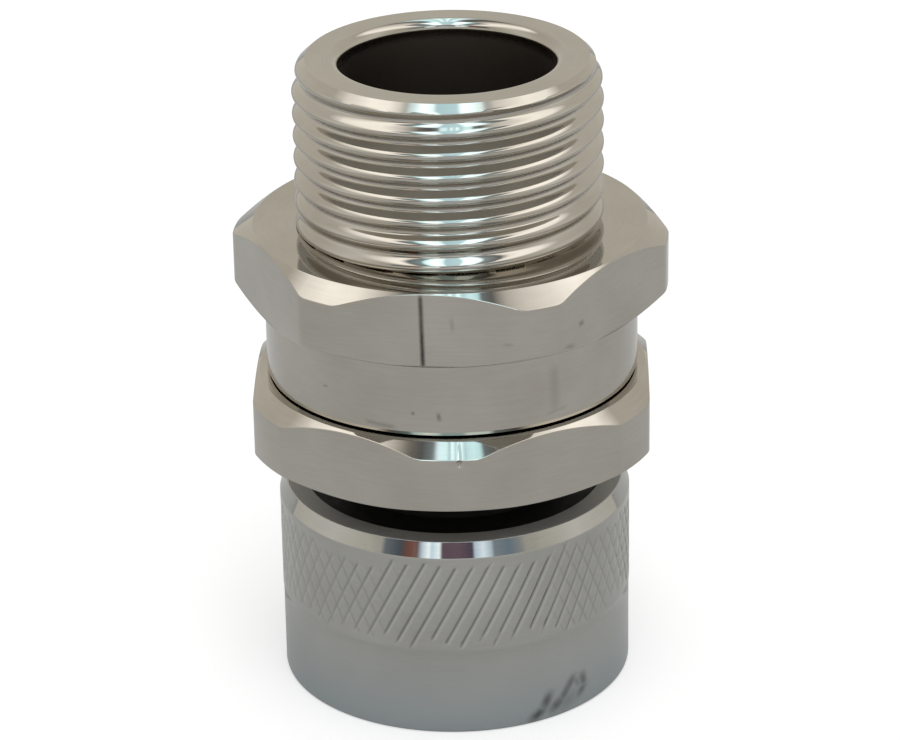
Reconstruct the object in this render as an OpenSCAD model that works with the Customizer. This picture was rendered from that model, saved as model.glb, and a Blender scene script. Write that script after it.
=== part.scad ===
// Swivel pipe connector. A threaded body and its gland nut hold a tube that turns on a ball race,
// and a knurled collar turns on the tube's lower end. The part stands on the collar's rim.
// Its origin is the centre of that rim, and its axis is +Z. Lengths are in millimetres.

/* [Ports] */
// Outside diameter of the pipe threads
thread_d = 27; // [26:0.5:30]
// Pitch of the pipe threads
thread_pitch = 2; // [1.5:0.25:2.5]
// Length of the threaded nipple above the body's hexagon
nipple_l = 15; // [11:0.5:20]
// Distance from the nipple's end to its first thread crest
first_crest = 0.36; // [0.1:0.02:1]
// Bore of the nipple
port_bore_d = 18.6; // [16:0.1:19.4]
// Width of the chamfer at the mouth of the nipple's bore
port_chamfer = 0.9; // [0.4:0.1:1.2]
// Height of the lead-in chamfer on the nipple's thread
lead_in_h = 0.8; // [0.4:0.1:1.5]
// Height of the plain band between the nipple's thread and the hexagon
runout_h = 0.6; // [0.3:0.1:1.5]
// Length of the threaded socket in the collar
socket_l = 7.6; // [6:0.2:10]
// Width of the chamfer at the mouth of the socket
socket_chamfer = 1.2; // [0.8:0.1:1.5]

/* [Male body] */
// How far each flat of the hexagons stands out from the skirt
hex_step = 0.95; // [0.5:0.05:2]
// Height of the body's hexagon
body_hex_h = 6.9; // [6:0.1:10]
// Amount turned off the corners of the body's hexagon
body_corner_trim = 0.95; // [0.4:0.05:1.6]
// Slope of the chamfer on top of the body's hexagon, in degrees
body_chamfer_deg = 36; // [25:1:45]
// How far inside the flats the body's top chamfer starts
body_chamfer_inset = 0.12; // [0.1:0.02:1]
// Turn of the body's hexagon about the axis, in degrees
body_hex_turn = -6.7; // [-30:0.1:30]
// Height of the round skirt under the body's hexagon
skirt_h = 6.6; // [5.5:0.05:9]
// Wall of the skirt outside the gland thread
skirt_wall = 2.7; // [2.2:0.05:4]
// Chamfer on the skirt's lower edge
skirt_chamfer = 0.25; // [0.1:0.05:0.6]

/* [Gland nut] */
// Height of the nut's hexagon
nut_hex_h = 6.75; // [6.4:0.05:10]
// Amount turned off the corners of the nut's hexagon
nut_corner_trim = 1.4; // [0.4:0.05:1.8]
// Slope of the chamfer on top of the nut, in degrees
nut_chamfer_deg = 33; // [25:1:45]
// How far inside the flats the nut's top chamfer starts
nut_chamfer_inset = 0.27; // [0.2:0.01:1]
// Turn of the nut's hexagon about the axis, in degrees
nut_hex_turn = 28.3; // [0:0.1:60]
// Slope of the chamfers under both hexagons, in degrees
under_chamfer_deg = 28; // [20:1:45]
// How far inside the flats the lower chamfers start
under_chamfer_inset = 0.4; // [0.2:0.1:1]
// Open seam between the skirt and the nut
seam_gap = 0.15; // [0.1:0.05:0.4]
// Wall of the nut's threaded sleeve
sleeve_wall = 1.6; // [1.4:0.1:2.4]
// Thickness of the nut's floor, which holds the guide bush
nut_floor_h = 5.7; // [4.6:0.1:6.2]
// How far the nut's sleeve stops below the body's shoulder
sleeve_recess = 0.9; // [0.4:0.1:1.5]
// Width of the punch mark that locks the nut
punch_d = 0.9; // [0.4:0.1:1.4]
// Turn of the punch mark from the nut's front corner, in degrees
punch_turn = 3; // [-10:0.5:10]

/* [Swivel stem] */
// Radial room between the stem's neck and the outside of the pipe threads
neck_room = 4.9; // [4.6:0.1:5.3]
// Bore of the stem
stem_bore_d = 12.6; // [10:0.1:13.2]
// Diameter of the stem's sealing spigot
spigot_d = 20.4; // [20:0.1:21]
// Chamfer at the end of the sealing spigot
spigot_chamfer = 0.6; // [0.3:0.1:1]
// Height of the stem's flange
flange_h = 2.4; // [1.8:0.1:3.5]
// Step from the neck down to the tail, in radius
tail_step = 0.7; // [0.4:0.1:1]
// How far the tail stops inside the pipe gasket
tail_recess = 0.4; // [0.2:0.1:0.8]

/* [Bearing] */
// Diameter of the bearing balls
ball_d = 2; // [1.6:0.1:2.4]
// Number of balls in the race
ball_count = 20; // [8:1:24]
// Depth of the ball track in each race washer
track_depth = 0.25; // [0.15:0.05:0.4]
// Radial width of the race washers
race_w = 3.1; // [3:0.1:3.6]
// Thickness of each race washer
race_h = 1.2; // [0.8:0.1:2]
// Open height above and below the ball cage
cage_play = 0.35; // [0.2:0.05:0.45]
// Thickness of the spring disc under the race
spring_h = 0.4; // [0.3:0.1:0.8]
// Rise of the spring disc's cone
spring_rise = 0.15; // [0.05:0.05:0.4]
// Thickness of the slip washer above the flange
slip_h = 0.8; // [0.4:0.1:1.5]
// Wall of the guide bush
bush_wall = 1.5; // [1:0.1:2]
// Height of the ledge that holds the bush in the nut
bush_ledge_h = 0.6; // [0.4:0.1:1.2]

/* [Seals] */
// Width of the stem's rubber rings across their section
ring_w = 2; // [1.6:0.1:2.2]
// Amount that each ring is squeezed between its groove and the bore
ring_squeeze = 0.44; // [0.2:0.02:0.6]
// Thickness of each backup ring
backup_h = 1; // [0.6:0.1:1.3]
// Open width left in each ring groove
groove_play = 0.3; // [0.1:0.05:0.6]
// Width of the lands beside the ring grooves
groove_land = 1.2; // [0.8:0.1:2]
// Width of the rubber ring at the nut's seam
seam_ring_w = 1.5; // [1.2:0.1:1.7]
// Wall of the dust seal's sleeve
dust_seal_wall = 1.2; // [0.8:0.1:1.6]
// Reach of the dust seal's lip beyond its sleeve
dust_lip_reach = 2; // [1:0.1:3]
// Thickness of the dust seal's lip
dust_lip_w = 0.4; // [0.3:0.05:0.6]
// Thickness of the dust seal's flange, which closes the collar's open recess
dust_flange_h = 1; // [0.6:0.1:1.2]
// Thickness of the pipe gasket
gasket_h = 1.8; // [1:0.1:2.5]

/* [Collar] */
// Depth of the collar's open recess above its inner lip
recess_h = 3.75; // [3.2:0.05:6]
// Wall of the collar outside its thread
collar_wall = 2.25; // [1.8:0.05:3.5]
// Open gap between the collar and the nut
collar_gap = 3.8; // [3:0.1:8]
// Height of the chamfer at the collar's top edge
collar_chamfer_h = 1.2; // [0.4:0.1:2]
// Width of the chamfer at the collar's top edge
collar_chamfer_w = 0.6; // [0.3:0.05:1.2]
// Height of the knurled band
knurl_h = 8.5; // [5:0.1:14]
// How far the knurl stands out from the plain band below it
knurl_proud = 0.05; // [0.02:0.01:0.3]
// Thickness of the collar's inner lip
lip_h = 2.2; // [1.5:0.1:2.6]
// Thickness of the seat ring on the stem's tail
seat_h = 2.6; // [2:0.1:4]
// Thickness of the washer under the lip
lower_washer_h = 0.3; // [0.2:0.05:0.5]
// Thickness of the washer above the lip
upper_washer_h = 0.4; // [0.2:0.05:0.8]
// Radial width of the washers on both sides of the lip
lip_washer_w = 2.2; // [1.6:0.1:2.6]
// Width of the edge that the pipe gasket leaves bare on the seat ring
gasket_margin = 0.6; // [0.3:0.1:1]
// Height of the snap ring
snap_h = 1; // [0.8:0.1:1.4]
// Depth of the snap ring's groove in the neck
snap_groove = 0.6; // [0.3:0.05:0.9]
// How far the snap ring stands out from the neck
snap_reach = 1; // [0.6:0.1:1.5]
// Opening of the snap ring, in degrees
snap_opening_deg = 30; // [15:5:60]

/* [Fits] */
// Radial clearance of a turning fit
run_fit = 0.05; // [0.03:0.01:0.08]
// Radial clearance between pieces that are fixed together
set_fit = 0.02; // [0.01:0.01:0.03]
// Radial clearance of pieces that pass each other freely
free_fit = 0.3; // [0.25:0.05:0.4]
// End clearance between faces that turn on each other
end_fit = 0.05; // [0.03:0.01:0.1]
// Small bevel on turned edges
edge_bevel = 0.2; // [0.1:0.05:0.3]

/* [Hidden] */
$fn = 96;

nickel = [0.70, 0.69, 0.65];
steel = [0.62, 0.63, 0.65];
bronze = [0.72, 0.53, 0.30];
rubber = [0.05, 0.05, 0.05];
polymer = [0.90, 0.89, 0.85];
cut = 1;
thread_crest = thread_pitch / 8;
outer_thread_depth = 0.6134 * thread_pitch;
inner_thread_depth = 0.5413 * thread_pitch;
race_gap = ball_d - 2 * track_depth;
cage_h = race_gap - 2 * cage_play;
ring_depth = ring_w - ring_squeeze;
groove_h = ring_w + backup_h + groove_play;

// Radii, from the axis outwards
thread_r = thread_d / 2;
neck_r = thread_r - neck_room;
stem_bore_r = stem_bore_d / 2;
spigot_r = spigot_d / 2;
tail_r = neck_r - tail_step;
port_bore_r = port_bore_d / 2;
seal_bore_r = spigot_r + run_fit;
groove_r = seal_bore_r - ring_depth - 2 * set_fit;
nipple_root_r = thread_r - outer_thread_depth;
socket_r = thread_r - inner_thread_depth;
race_in_r = neck_r + free_fit;
race_out_r = race_in_r + race_w;
ball_r = ball_d / 2;
ball_track_r = (race_in_r + race_out_r) / 2;
cup_r = race_out_r + free_fit / 2;
sleeve_r = cup_r + sleeve_wall;
chamber_r = sleeve_r + run_fit;
seam_root_r = sleeve_r - seam_ring_w / 3;
seam_outer_r = seam_root_r + seam_ring_w + 2 * set_fit;
skirt_r = sleeve_r + skirt_wall;
flat_r = skirt_r + hex_step;
corner_r = flat_r / cos(30);
flange_r = cup_r - free_fit;
bush_r = neck_r + run_fit + bush_wall;
dust_seal_r = neck_r + dust_seal_wall;
collar_r = thread_r + collar_wall;
seat_r = socket_r - free_fit;
gasket_r = seat_r - gasket_margin;
lip_washer_r = neck_r + run_fit + lip_washer_w;

// Heights, from the collar's rim upwards
gasket_z = socket_l + free_fit / 2;
tail_z = gasket_z + tail_recess;
seat_z = gasket_z + gasket_h;
neck_z = seat_z + seat_h;
lip_z = neck_z + lower_washer_h + 2 * end_fit;
lip_top_z = lip_z + lip_h;
collar_h = lip_top_z + recess_h;
snap_z = lip_top_z + upper_washer_h + 2 * end_fit;
snap_top_z = snap_z + snap_h;
nut_z = collar_h + collar_gap;
nut_top_z = nut_z + nut_hex_h;
cup_z = nut_z + nut_floor_h;
lower_race_z = cup_z + spring_h + spring_rise;
lower_race_top_z = lower_race_z + race_h;
ball_z = lower_race_top_z + race_gap / 2;
upper_race_z = lower_race_top_z + race_gap;
flange_z = upper_race_z + race_h;
flange_top_z = flange_z + flange_h;
shoulder_z = flange_top_z + slip_h + end_fit;
sleeve_top_z = shoulder_z - sleeve_recess;
lower_groove_z = shoulder_z + groove_land;
upper_groove_z = lower_groove_z + groove_h + groove_land;
spigot_top_z = upper_groove_z + groove_h + groove_land + spigot_chamfer;
seal_bore_top_z = spigot_top_z + free_fit;
skirt_z = nut_top_z + seam_gap;
body_hex_z = skirt_z + skirt_h;
body_hex_top_z = body_hex_z + body_hex_h;
nipple_top_z = body_hex_top_z + nipple_l;
seam_ring_top_z = nut_top_z + seam_ring_w + 2 * set_fit;

function thread_ridge(z, r_crest, r_root) =
    let (run = (r_crest - r_root) * tan(30))
    [
        [r_root, z - thread_crest / 2 - run],
        [r_crest, z - thread_crest / 2],
        [r_crest, z + thread_crest / 2],
        [r_root, z + thread_crest / 2 + run]
    ];

module turned(points) {
    rotate_extrude()
        polygon(points);
}

module plain_ring(r_in, r_out, z, h) {
    turned([[r_in, z], [r_out, z], [r_out, z + h], [r_in, z + h]]);
}

// A turned ring with its outer edges bevelled
module edged_ring(r_in, r_out, z, h) {
    turned([
        [r_in, z], [r_out - edge_bevel, z], [r_out, z + edge_bevel],
        [r_out, z + h - edge_bevel], [r_out - edge_bevel, z + h], [r_in, z + h]
    ]);
}

// A rubber ring of round section, pressed into a groove
module rubber_ring(r, z, w) {
    rotate_extrude()
        translate([r, z])
            circle(d = w);
}

// A hexagon with its corners turned round and both faces chamfered
module turned_hex(z, h, trim, top_deg, top_inset, turn) {
    trimmed_r = corner_r - trim;
    top_r = flat_r - top_inset;
    under_r = flat_r - under_chamfer_inset;
    intersection() {
        rotate([0, 0, turn])
            translate([0, 0, z - cut])
                cylinder(r = corner_r, h = h + 2 * cut, $fn = 6);
        turned([
            [0, z], [under_r, z],
            [trimmed_r, z + (trimmed_r - under_r) * tan(under_chamfer_deg)],
            [trimmed_r, z + h - (trimmed_r - top_r) * tan(top_deg)],
            [top_r, z + h], [0, z + h]
        ]);
    }
}

// The nipple's outline: thread ridges and a plain band, clipped by the lead-in chamfer
module nipple_outline() {
    crests = ceil((nipple_l - first_crest) / thread_pitch);
    ridges = [
        for (i = [crests:-1:0])
            each thread_ridge(nipple_top_z - first_crest - i * thread_pitch, thread_r, nipple_root_r)
    ];
    intersection() {
        union() {
            polygon(concat(
                [[0, body_hex_top_z - 2 * thread_pitch]],
                [[nipple_root_r, body_hex_top_z - 2 * thread_pitch]],
                ridges,
                [[nipple_root_r, nipple_top_z + thread_pitch]],
                [[0, nipple_top_z + thread_pitch]]
            ));
            translate([0, body_hex_top_z - cut])
                square([thread_r, runout_h + cut]);
        }
        polygon([
            [0, body_hex_top_z - cut], [thread_r + cut, body_hex_top_z - cut],
            [thread_r + cut, nipple_top_z - lead_in_h - cut],
            [thread_r, nipple_top_z - lead_in_h],
            [nipple_root_r, nipple_top_z], [0, nipple_top_z]
        ]);
    }
}

module male_body() {
    color(nickel)
    difference() {
        union() {
            turned_hex(
                body_hex_z, body_hex_h, body_corner_trim,
                body_chamfer_deg, body_chamfer_inset, body_hex_turn
            );
            rotate_extrude()
                nipple_outline();
            turned([
                [0, skirt_z], [skirt_r - skirt_chamfer, skirt_z],
                [skirt_r, skirt_z + skirt_chamfer],
                [skirt_r, body_hex_z + cut], [0, body_hex_z + cut]
            ]);
        }
        turned([
            [0, nipple_top_z + cut],
            [port_bore_r + port_chamfer + cut, nipple_top_z + cut],
            [port_bore_r, nipple_top_z - port_chamfer],
            [port_bore_r, seal_bore_top_z],
            [seal_bore_r, seal_bore_top_z],
            [seal_bore_r, shoulder_z + edge_bevel],
            [seal_bore_r + edge_bevel, shoulder_z],
            [chamber_r, shoulder_z],
            [chamber_r, seam_ring_top_z],
            [seam_outer_r, seam_ring_top_z],
            [seam_outer_r, skirt_z - cut],
            [0, skirt_z - cut]
        ]);
    }
}

module gland_nut() {
    color(nickel)
    difference() {
        union() {
            turned_hex(
                nut_z, nut_hex_h, nut_corner_trim,
                nut_chamfer_deg, nut_chamfer_inset, nut_hex_turn
            );
            turned([
                [0, nut_top_z - cut], [seam_root_r, nut_top_z - cut],
                [seam_root_r, seam_ring_top_z], [sleeve_r, seam_ring_top_z],
                [sleeve_r, sleeve_top_z], [0, sleeve_top_z]
            ]);
        }
        turned([
            [0, nut_z - cut], [neck_r + free_fit, nut_z - cut],
            [neck_r + free_fit, nut_z + bush_ledge_h],
            [bush_r + set_fit, nut_z + bush_ledge_h],
            [bush_r + set_fit, cup_z],
            [cup_r, cup_z], [cup_r, sleeve_top_z + cut], [0, sleeve_top_z + cut]
        ]);
        punch_mark();
    }
}

// A small centre punch mark under the top chamfer, near the nut's front corner
module punch_mark() {
    mark_z = nut_top_z - (corner_r - nut_corner_trim - flat_r + nut_chamfer_inset) * tan(nut_chamfer_deg);
    translate([0, 0, mark_z - punch_d / 3])
        rotate([90, 0, nut_hex_turn - 30 + punch_turn])
            translate([0, 0, corner_r - nut_corner_trim - punch_d / 2])
                cylinder(r1 = 0, r2 = punch_d, h = punch_d);
}

module seam_ring() {
    color(rubber)
        rubber_ring(
            seam_root_r + set_fit + seam_ring_w / 2,
            nut_top_z + set_fit + seam_ring_w / 2,
            seam_ring_w
        );
}

module guide_bush() {
    bush_z = nut_z + bush_ledge_h;
    color(bronze)
        plain_ring(neck_r + run_fit, bush_r, bush_z, cup_z - bush_z);
}

module spring_disc() {
    disc_in_r = race_in_r;
    disc_out_r = race_out_r;
    color(steel)
        turned([
            [disc_in_r, cup_z + spring_rise], [disc_out_r, cup_z],
            [disc_out_r, cup_z + spring_h], [disc_in_r, cup_z + spring_h + spring_rise]
        ]);
}

// A race washer with a round track for the balls
module race(z) {
    color(steel)
    difference() {
        edged_ring(race_in_r, race_out_r, z, race_h);
        rubber_ring(ball_track_r, ball_z, ball_d + 2 * run_fit);
    }
}

module lower_race() {
    race(lower_race_z);
}

module upper_race() {
    race(upper_race_z);
}

module ball_cage() {
    color(bronze)
    difference() {
        plain_ring(race_in_r + free_fit / 3, race_out_r - free_fit / 3, ball_z - cage_h / 2, cage_h);
        for (i = [0:ball_count - 1])
            rotate([0, 0, i * 360 / ball_count])
                translate([ball_track_r, 0, ball_z - cage_h / 2 - cut])
                    cylinder(r = ball_r + run_fit, h = cage_h + 2 * cut);
    }
}

module bearing_balls() {
    color(steel)
        for (i = [0:ball_count - 1])
            rotate([0, 0, i * 360 / ball_count])
                translate([ball_track_r, 0, ball_z])
                    sphere(r = ball_r);
}

module swivel_stem() {
    color(nickel)
    difference() {
        turned([
            [stem_bore_r, tail_z], [tail_r - edge_bevel, tail_z], [tail_r, tail_z + edge_bevel],
            [tail_r, neck_z], [neck_r, neck_z],
            [neck_r, flange_z], [flange_r, flange_z],
            [flange_r, flange_top_z], [spigot_r, flange_top_z],
            [spigot_r, spigot_top_z - spigot_chamfer], [spigot_r - spigot_chamfer, spigot_top_z],
            [stem_bore_r + spigot_chamfer, spigot_top_z], [stem_bore_r, spigot_top_z - spigot_chamfer]
        ]);
        plain_ring(groove_r, spigot_r + cut, lower_groove_z, groove_h);
        plain_ring(groove_r, spigot_r + cut, upper_groove_z, groove_h);
        plain_ring(neck_r - snap_groove, neck_r + cut, snap_z, snap_h + end_fit);
    }
}

module slip_washer() {
    color(polymer)
        plain_ring(spigot_r + run_fit, flange_r, flange_top_z, slip_h);
}

// A rubber ring pressed to an upright oval between its groove and the bore
module pressed_ring(z) {
    round_r = ring_depth / 2;
    color(rubber)
        rotate_extrude() {
            translate([groove_r + set_fit + round_r, z + round_r])
                circle(r = round_r);
            translate([groove_r + set_fit + round_r, z + ring_w - round_r])
                circle(r = round_r);
            translate([groove_r + set_fit, z + round_r])
                square([ring_depth, ring_w - 2 * round_r]);
        }
}

module backup_ring(z) {
    color(polymer)
        plain_ring(groove_r + set_fit, spigot_r, z, backup_h);
}

module lower_backup_ring() {
    backup_ring(lower_groove_z);
}

module lower_seal_ring() {
    pressed_ring(lower_groove_z + backup_h + set_fit);
}

module upper_backup_ring() {
    backup_ring(upper_groove_z);
}

module upper_seal_ring() {
    pressed_ring(upper_groove_z + backup_h + set_fit);
}

// A rubber sleeve on the neck. Its flange closes the collar's recess, and its lip wipes the nut.
module dust_seal() {
    seal_in_r = neck_r + set_fit;
    heel_z = snap_top_z + free_fit;
    lip_tip_z = nut_z - 2 * end_fit;
    hinge_z = lip_tip_z - dust_lip_reach;
    flange_top = collar_h - free_fit;
    flange_out_r = thread_r - free_fit;
    color(rubber)
        turned([
            [seal_in_r, heel_z],
            [dust_seal_r - edge_bevel, heel_z], [dust_seal_r, heel_z + edge_bevel],
            [dust_seal_r, flange_top - dust_flange_h], [flange_out_r, flange_top - dust_flange_h],
            [flange_out_r, flange_top], [dust_seal_r, flange_top],
            [dust_seal_r, hinge_z],
            [dust_seal_r + dust_lip_reach, lip_tip_z - dust_lip_w / 2],
            [dust_seal_r + dust_lip_reach, lip_tip_z],
            [dust_seal_r + dust_lip_reach - dust_lip_w, lip_tip_z],
            [dust_seal_r - dust_lip_w, hinge_z + dust_lip_w / 2],
            [dust_seal_r - dust_lip_w, lip_tip_z - free_fit],
            [seal_in_r, lip_tip_z - free_fit]
        ]);
}

module snap_ring() {
    color(steel)
        rotate([0, 0, 90 + snap_opening_deg / 2])
            rotate_extrude(angle = 360 - snap_opening_deg)
                translate([neck_r - snap_groove + set_fit, snap_z])
                    square([snap_groove + snap_reach, snap_h]);
}

module upper_collar_washer() {
    color(polymer)
        plain_ring(neck_r + run_fit, lip_washer_r, lip_top_z + end_fit, upper_washer_h);
}

module lower_collar_washer() {
    color(polymer)
        plain_ring(neck_r + run_fit, lip_washer_r, neck_z, lower_washer_h);
}

module seat_ring() {
    color(nickel)
        edged_ring(tail_r + set_fit, seat_r, seat_z, seat_h);
}

module pipe_gasket() {
    color(rubber)
        plain_ring(tail_r + set_fit, gasket_r, gasket_z, gasket_h);
}

// The collar's bore: threaded socket, seat chamber, inner lip and open recess
module collar_bore() {
    groove_count = floor((socket_l - socket_chamfer) / thread_pitch);
    grooves = [
        for (i = [0:groove_count - 1])
            each thread_ridge(socket_chamfer + (i + 0.5) * thread_pitch, thread_r, socket_r)
    ];
    rotate_extrude()
        polygon(concat(
            [[0, -cut], [socket_r + socket_chamfer + cut, -cut], [socket_r, socket_chamfer]],
            grooves,
            [
                [socket_r, socket_l], [thread_r, socket_l],
                [thread_r, lip_z], [neck_r + free_fit, lip_z],
                [neck_r + free_fit, lip_top_z], [thread_r, lip_top_z],
                [thread_r, collar_h + cut], [0, collar_h + cut]
            ]
        ));
}

module knurled_collar() {
    knurl_top_z = collar_h - collar_chamfer_h;
    knurl_z = knurl_top_z - knurl_h;
    plain_r = collar_r - knurl_proud;
    color(nickel)
    difference() {
        turned([
            [0, 0], [plain_r - edge_bevel, 0], [plain_r, edge_bevel],
            [plain_r, knurl_z], [collar_r, knurl_z + knurl_proud],
            [collar_r, knurl_top_z],
            [collar_r - collar_chamfer_w, collar_h], [0, collar_h]
        ]);
        collar_bore();
    }
}

male_body();
gland_nut();
seam_ring();
guide_bush();
spring_disc();
lower_race();
ball_cage();
bearing_balls();
upper_race();
swivel_stem();
slip_washer();
lower_backup_ring();
lower_seal_ring();
upper_backup_ring();
upper_seal_ring();
dust_seal();
snap_ring();
upper_collar_washer();
lower_collar_washer();
seat_ring();
pipe_gasket();
knurled_collar();
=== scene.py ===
import math

import bmesh
import bpy
from mathutils import Matrix, Vector


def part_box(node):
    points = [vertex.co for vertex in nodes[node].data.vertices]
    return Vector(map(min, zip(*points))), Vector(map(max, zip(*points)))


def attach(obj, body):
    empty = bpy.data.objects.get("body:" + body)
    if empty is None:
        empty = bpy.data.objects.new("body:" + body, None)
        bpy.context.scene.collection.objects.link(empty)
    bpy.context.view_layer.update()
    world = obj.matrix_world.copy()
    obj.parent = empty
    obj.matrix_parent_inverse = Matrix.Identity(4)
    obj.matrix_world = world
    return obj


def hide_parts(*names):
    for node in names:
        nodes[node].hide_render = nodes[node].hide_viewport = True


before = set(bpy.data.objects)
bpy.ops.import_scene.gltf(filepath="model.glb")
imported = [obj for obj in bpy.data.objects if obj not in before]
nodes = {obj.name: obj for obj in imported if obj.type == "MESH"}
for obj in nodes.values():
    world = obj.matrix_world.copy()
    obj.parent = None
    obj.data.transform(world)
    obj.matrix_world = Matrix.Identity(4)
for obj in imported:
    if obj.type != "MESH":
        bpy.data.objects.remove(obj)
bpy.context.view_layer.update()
mm = 0.001


def zLow(node):
    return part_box(node)[0].z / mm


def zTop(node):
    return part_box(node)[1].z / mm


# Node trees: one call adds a node with its settings, and links or sets its inputs
def add(tree, kind, values=None, **settings):
    made = tree.nodes.new(kind)
    for key, value in settings.items():
        setattr(made, key, value)
    for key, value in (values or {}).items():
        if isinstance(value, bpy.types.NodeSocket):
            tree.links.new(value, made.inputs[key])
        else:
            made.inputs[key].default_value = value
    return made


def calc(tree, operation, *values):
    made = add(tree, "ShaderNodeMath", dict(enumerate(values)), operation=operation)
    return made.outputs[0]


def ramp(tree, value, low, high, toLow=0.0, toHigh=1.0, smooth=False):
    values = {"Value": value, "From Min": low, "From Max": high, "To Min": toLow, "To Max": toHigh}
    kind = "SMOOTHSTEP" if smooth else "LINEAR"
    return add(tree, "ShaderNodeMapRange", values, interpolation_type=kind, clamp=True).outputs[0]


def noise(tree, spot, scale, detail=2.0, roughness=0.5):
    values = {"Vector": spot, "Scale": scale, "Detail": detail, "Roughness": roughness}
    return add(tree, "ShaderNodeTexNoise", values).outputs[0]


# Outlines: corners are (radius, height, rounding), and come back as points with rounded corners.
# One more point on each side of a rounding keeps the faces beside it flat
def roundOutline(corners, steps=4, hold=0.06, cutShare=0.4, holdShare=0.05):
    points = []
    count = len(corners)
    for i, corner in enumerate(corners):
        here = Vector(corner[:2])
        back = Vector(corners[i - 1][:2]) - here
        ahead = Vector(corners[(i + 1) % count][:2]) - here
        rounding = corner[2] if len(corner) > 2 else 0.0
        if rounding == 0:
            points.append(here)
            continue
        spanBack, spanAhead = back.length, ahead.length
        back.normalize()
        ahead.normalize()
        half = back.angle(ahead) / 2
        cut = min(rounding / math.tan(half), spanBack * cutShare, spanAhead * cutShare)
        radius = cut * math.tan(half)
        centre = here + (back + ahead).normalized() * (radius / math.sin(half))
        first = here + back * cut - centre
        sweep = first.angle_signed(here + ahead * cut - centre)
        points.append(here + back * (cut + min(hold, spanBack * holdShare)))
        for k in range(steps + 1):
            points.append(centre + Matrix.Rotation(-sweep * k / steps, 2) @ first)
        points.append(here + ahead * (cut + min(hold, spanAhead * holdShare)))
    return points


# Each ring holds one (radius, height) for every angle, and neighbours are joined by quads
def addRings(mesh, rings, angles):
    rows = []
    for ring in rings:
        row = []
        for (radius, height), angle in zip(ring, angles):
            x, y = radius * math.cos(angle), radius * math.sin(angle)
            row.append(mesh.verts.new((x * mm, y * mm, height * mm)))
        rows.append(row)
    for low, high in zip(rows, rows[1:]):
        for i in range(len(angles)):
            j = (i + 1) % len(angles)
            mesh.faces.new((low[i], low[j], high[j], high[i]))


def turned(points, angles):
    return [[(p[0], p[1])] * len(angles) for p in points]


def addData(mesh, data):
    mesh.from_mesh(data)
    bpy.data.meshes.remove(data)


# Cleaning: how close points are joined, how small a face is dropped, and what counts as an edge
cleaning = {"join": 0.0005, "speck": 0.00005, "sharpDegrees": 40}


def finishPiece(mesh, name, node, onBody, material):
    bmesh.ops.remove_doubles(mesh, verts=mesh.verts, dist=cleaning["join"] * mm)
    bmesh.ops.dissolve_degenerate(mesh, edges=mesh.edges, dist=cleaning["speck"] * mm)
    bmesh.ops.recalc_face_normals(mesh, faces=mesh.faces)
    openEdges = sum(1 for e in mesh.edges if not e.is_manifold)
    data = bpy.data.meshes.new(name)
    mesh.to_mesh(data)
    mesh.free()
    data.shade_smooth()
    data.set_sharp_from_angle(angle=math.radians(cleaning["sharpDegrees"]))
    data.materials.append(material)
    piece = bpy.data.objects.new(name, data)
    bpy.context.scene.collection.objects.link(piece)
    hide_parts(node)
    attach(piece, onBody)
    print("made", name, "faces", len(data.polygons), "open edges", openEdges)


# An open tube for Geometry Nodes: its points hold how far round they are, in turns, and how far up
def openTube(name, turns, rows, rowStep):
    data = bpy.data.meshes.new(name)
    width = len(turns)
    faces = []
    for j in range(rows):
        for i in range(width - 1):
            here, above = j * width + i, (j + 1) * width + i
            faces.append((here, here + 1, above + 1, above))
    data.from_pydata([(t, j * rowStep, 0.0) for j in range(rows + 1) for t in turns], [], faces)
    return data


def startTree(name, inputs):
    tree = bpy.data.node_groups.new(name, "GeometryNodeTree")
    tree.interface.new_socket("Geometry", in_out="INPUT", socket_type="NodeSocketGeometry")
    tree.interface.new_socket("Geometry", in_out="OUTPUT", socket_type="NodeSocketGeometry")
    for label in inputs:
        tree.interface.new_socket(label, in_out="INPUT", socket_type="NodeSocketFloat")
    tree.interface.new_socket("Material", in_out="INPUT", socket_type="NodeSocketMaterial")
    return tree, tree.nodes.new("NodeGroupInput").outputs


def endTree(tree, given, radius, angle, height):
    x = calc(tree, "MULTIPLY", radius, calc(tree, "COSINE", angle))
    y = calc(tree, "MULTIPLY", radius, calc(tree, "SINE", angle))
    place = add(tree, "ShaderNodeCombineXYZ", {"X": x, "Y": y, "Z": height}).outputs[0]
    metres = add(tree, "ShaderNodeVectorMath", {0: place, "Scale": mm}, operation="SCALE").outputs[0]
    moved = add(tree, "GeometryNodeSetPosition", {"Geometry": given["Geometry"], "Position": metres})
    whole = add(tree, "GeometryNodeRealizeInstances", {"Geometry": moved.outputs[0]})
    finish = {"Geometry": whole.outputs[0], "Material": given["Material"]}
    dressed = add(tree, "GeometryNodeSetMaterial", finish)
    add(tree, "NodeGroupOutput", {"Geometry": dressed.outputs[0]})


def grow(data, tree, values, material):
    carrier = bpy.data.objects.new("carrier", data)
    bpy.context.scene.collection.objects.link(carrier)
    modifier = carrier.modifiers.new("shape", "NODES")
    modifier.node_group = tree
    for item in tree.interface.items_tree:
        if item.in_out == "INPUT" and item.name in values:
            modifier[item.identifier] = float(values[item.name])
        if item.in_out == "INPUT" and item.name == "Material":
            modifier[item.identifier] = material
    bpy.context.view_layer.update()
    seen = carrier.evaluated_get(bpy.context.evaluated_depsgraph_get())
    grown = bpy.data.meshes.new_from_object(seen)
    carrier.modifiers.remove(modifier)
    bpy.data.objects.remove(carrier)
    bpy.data.meshes.remove(data)
    return grown


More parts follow.
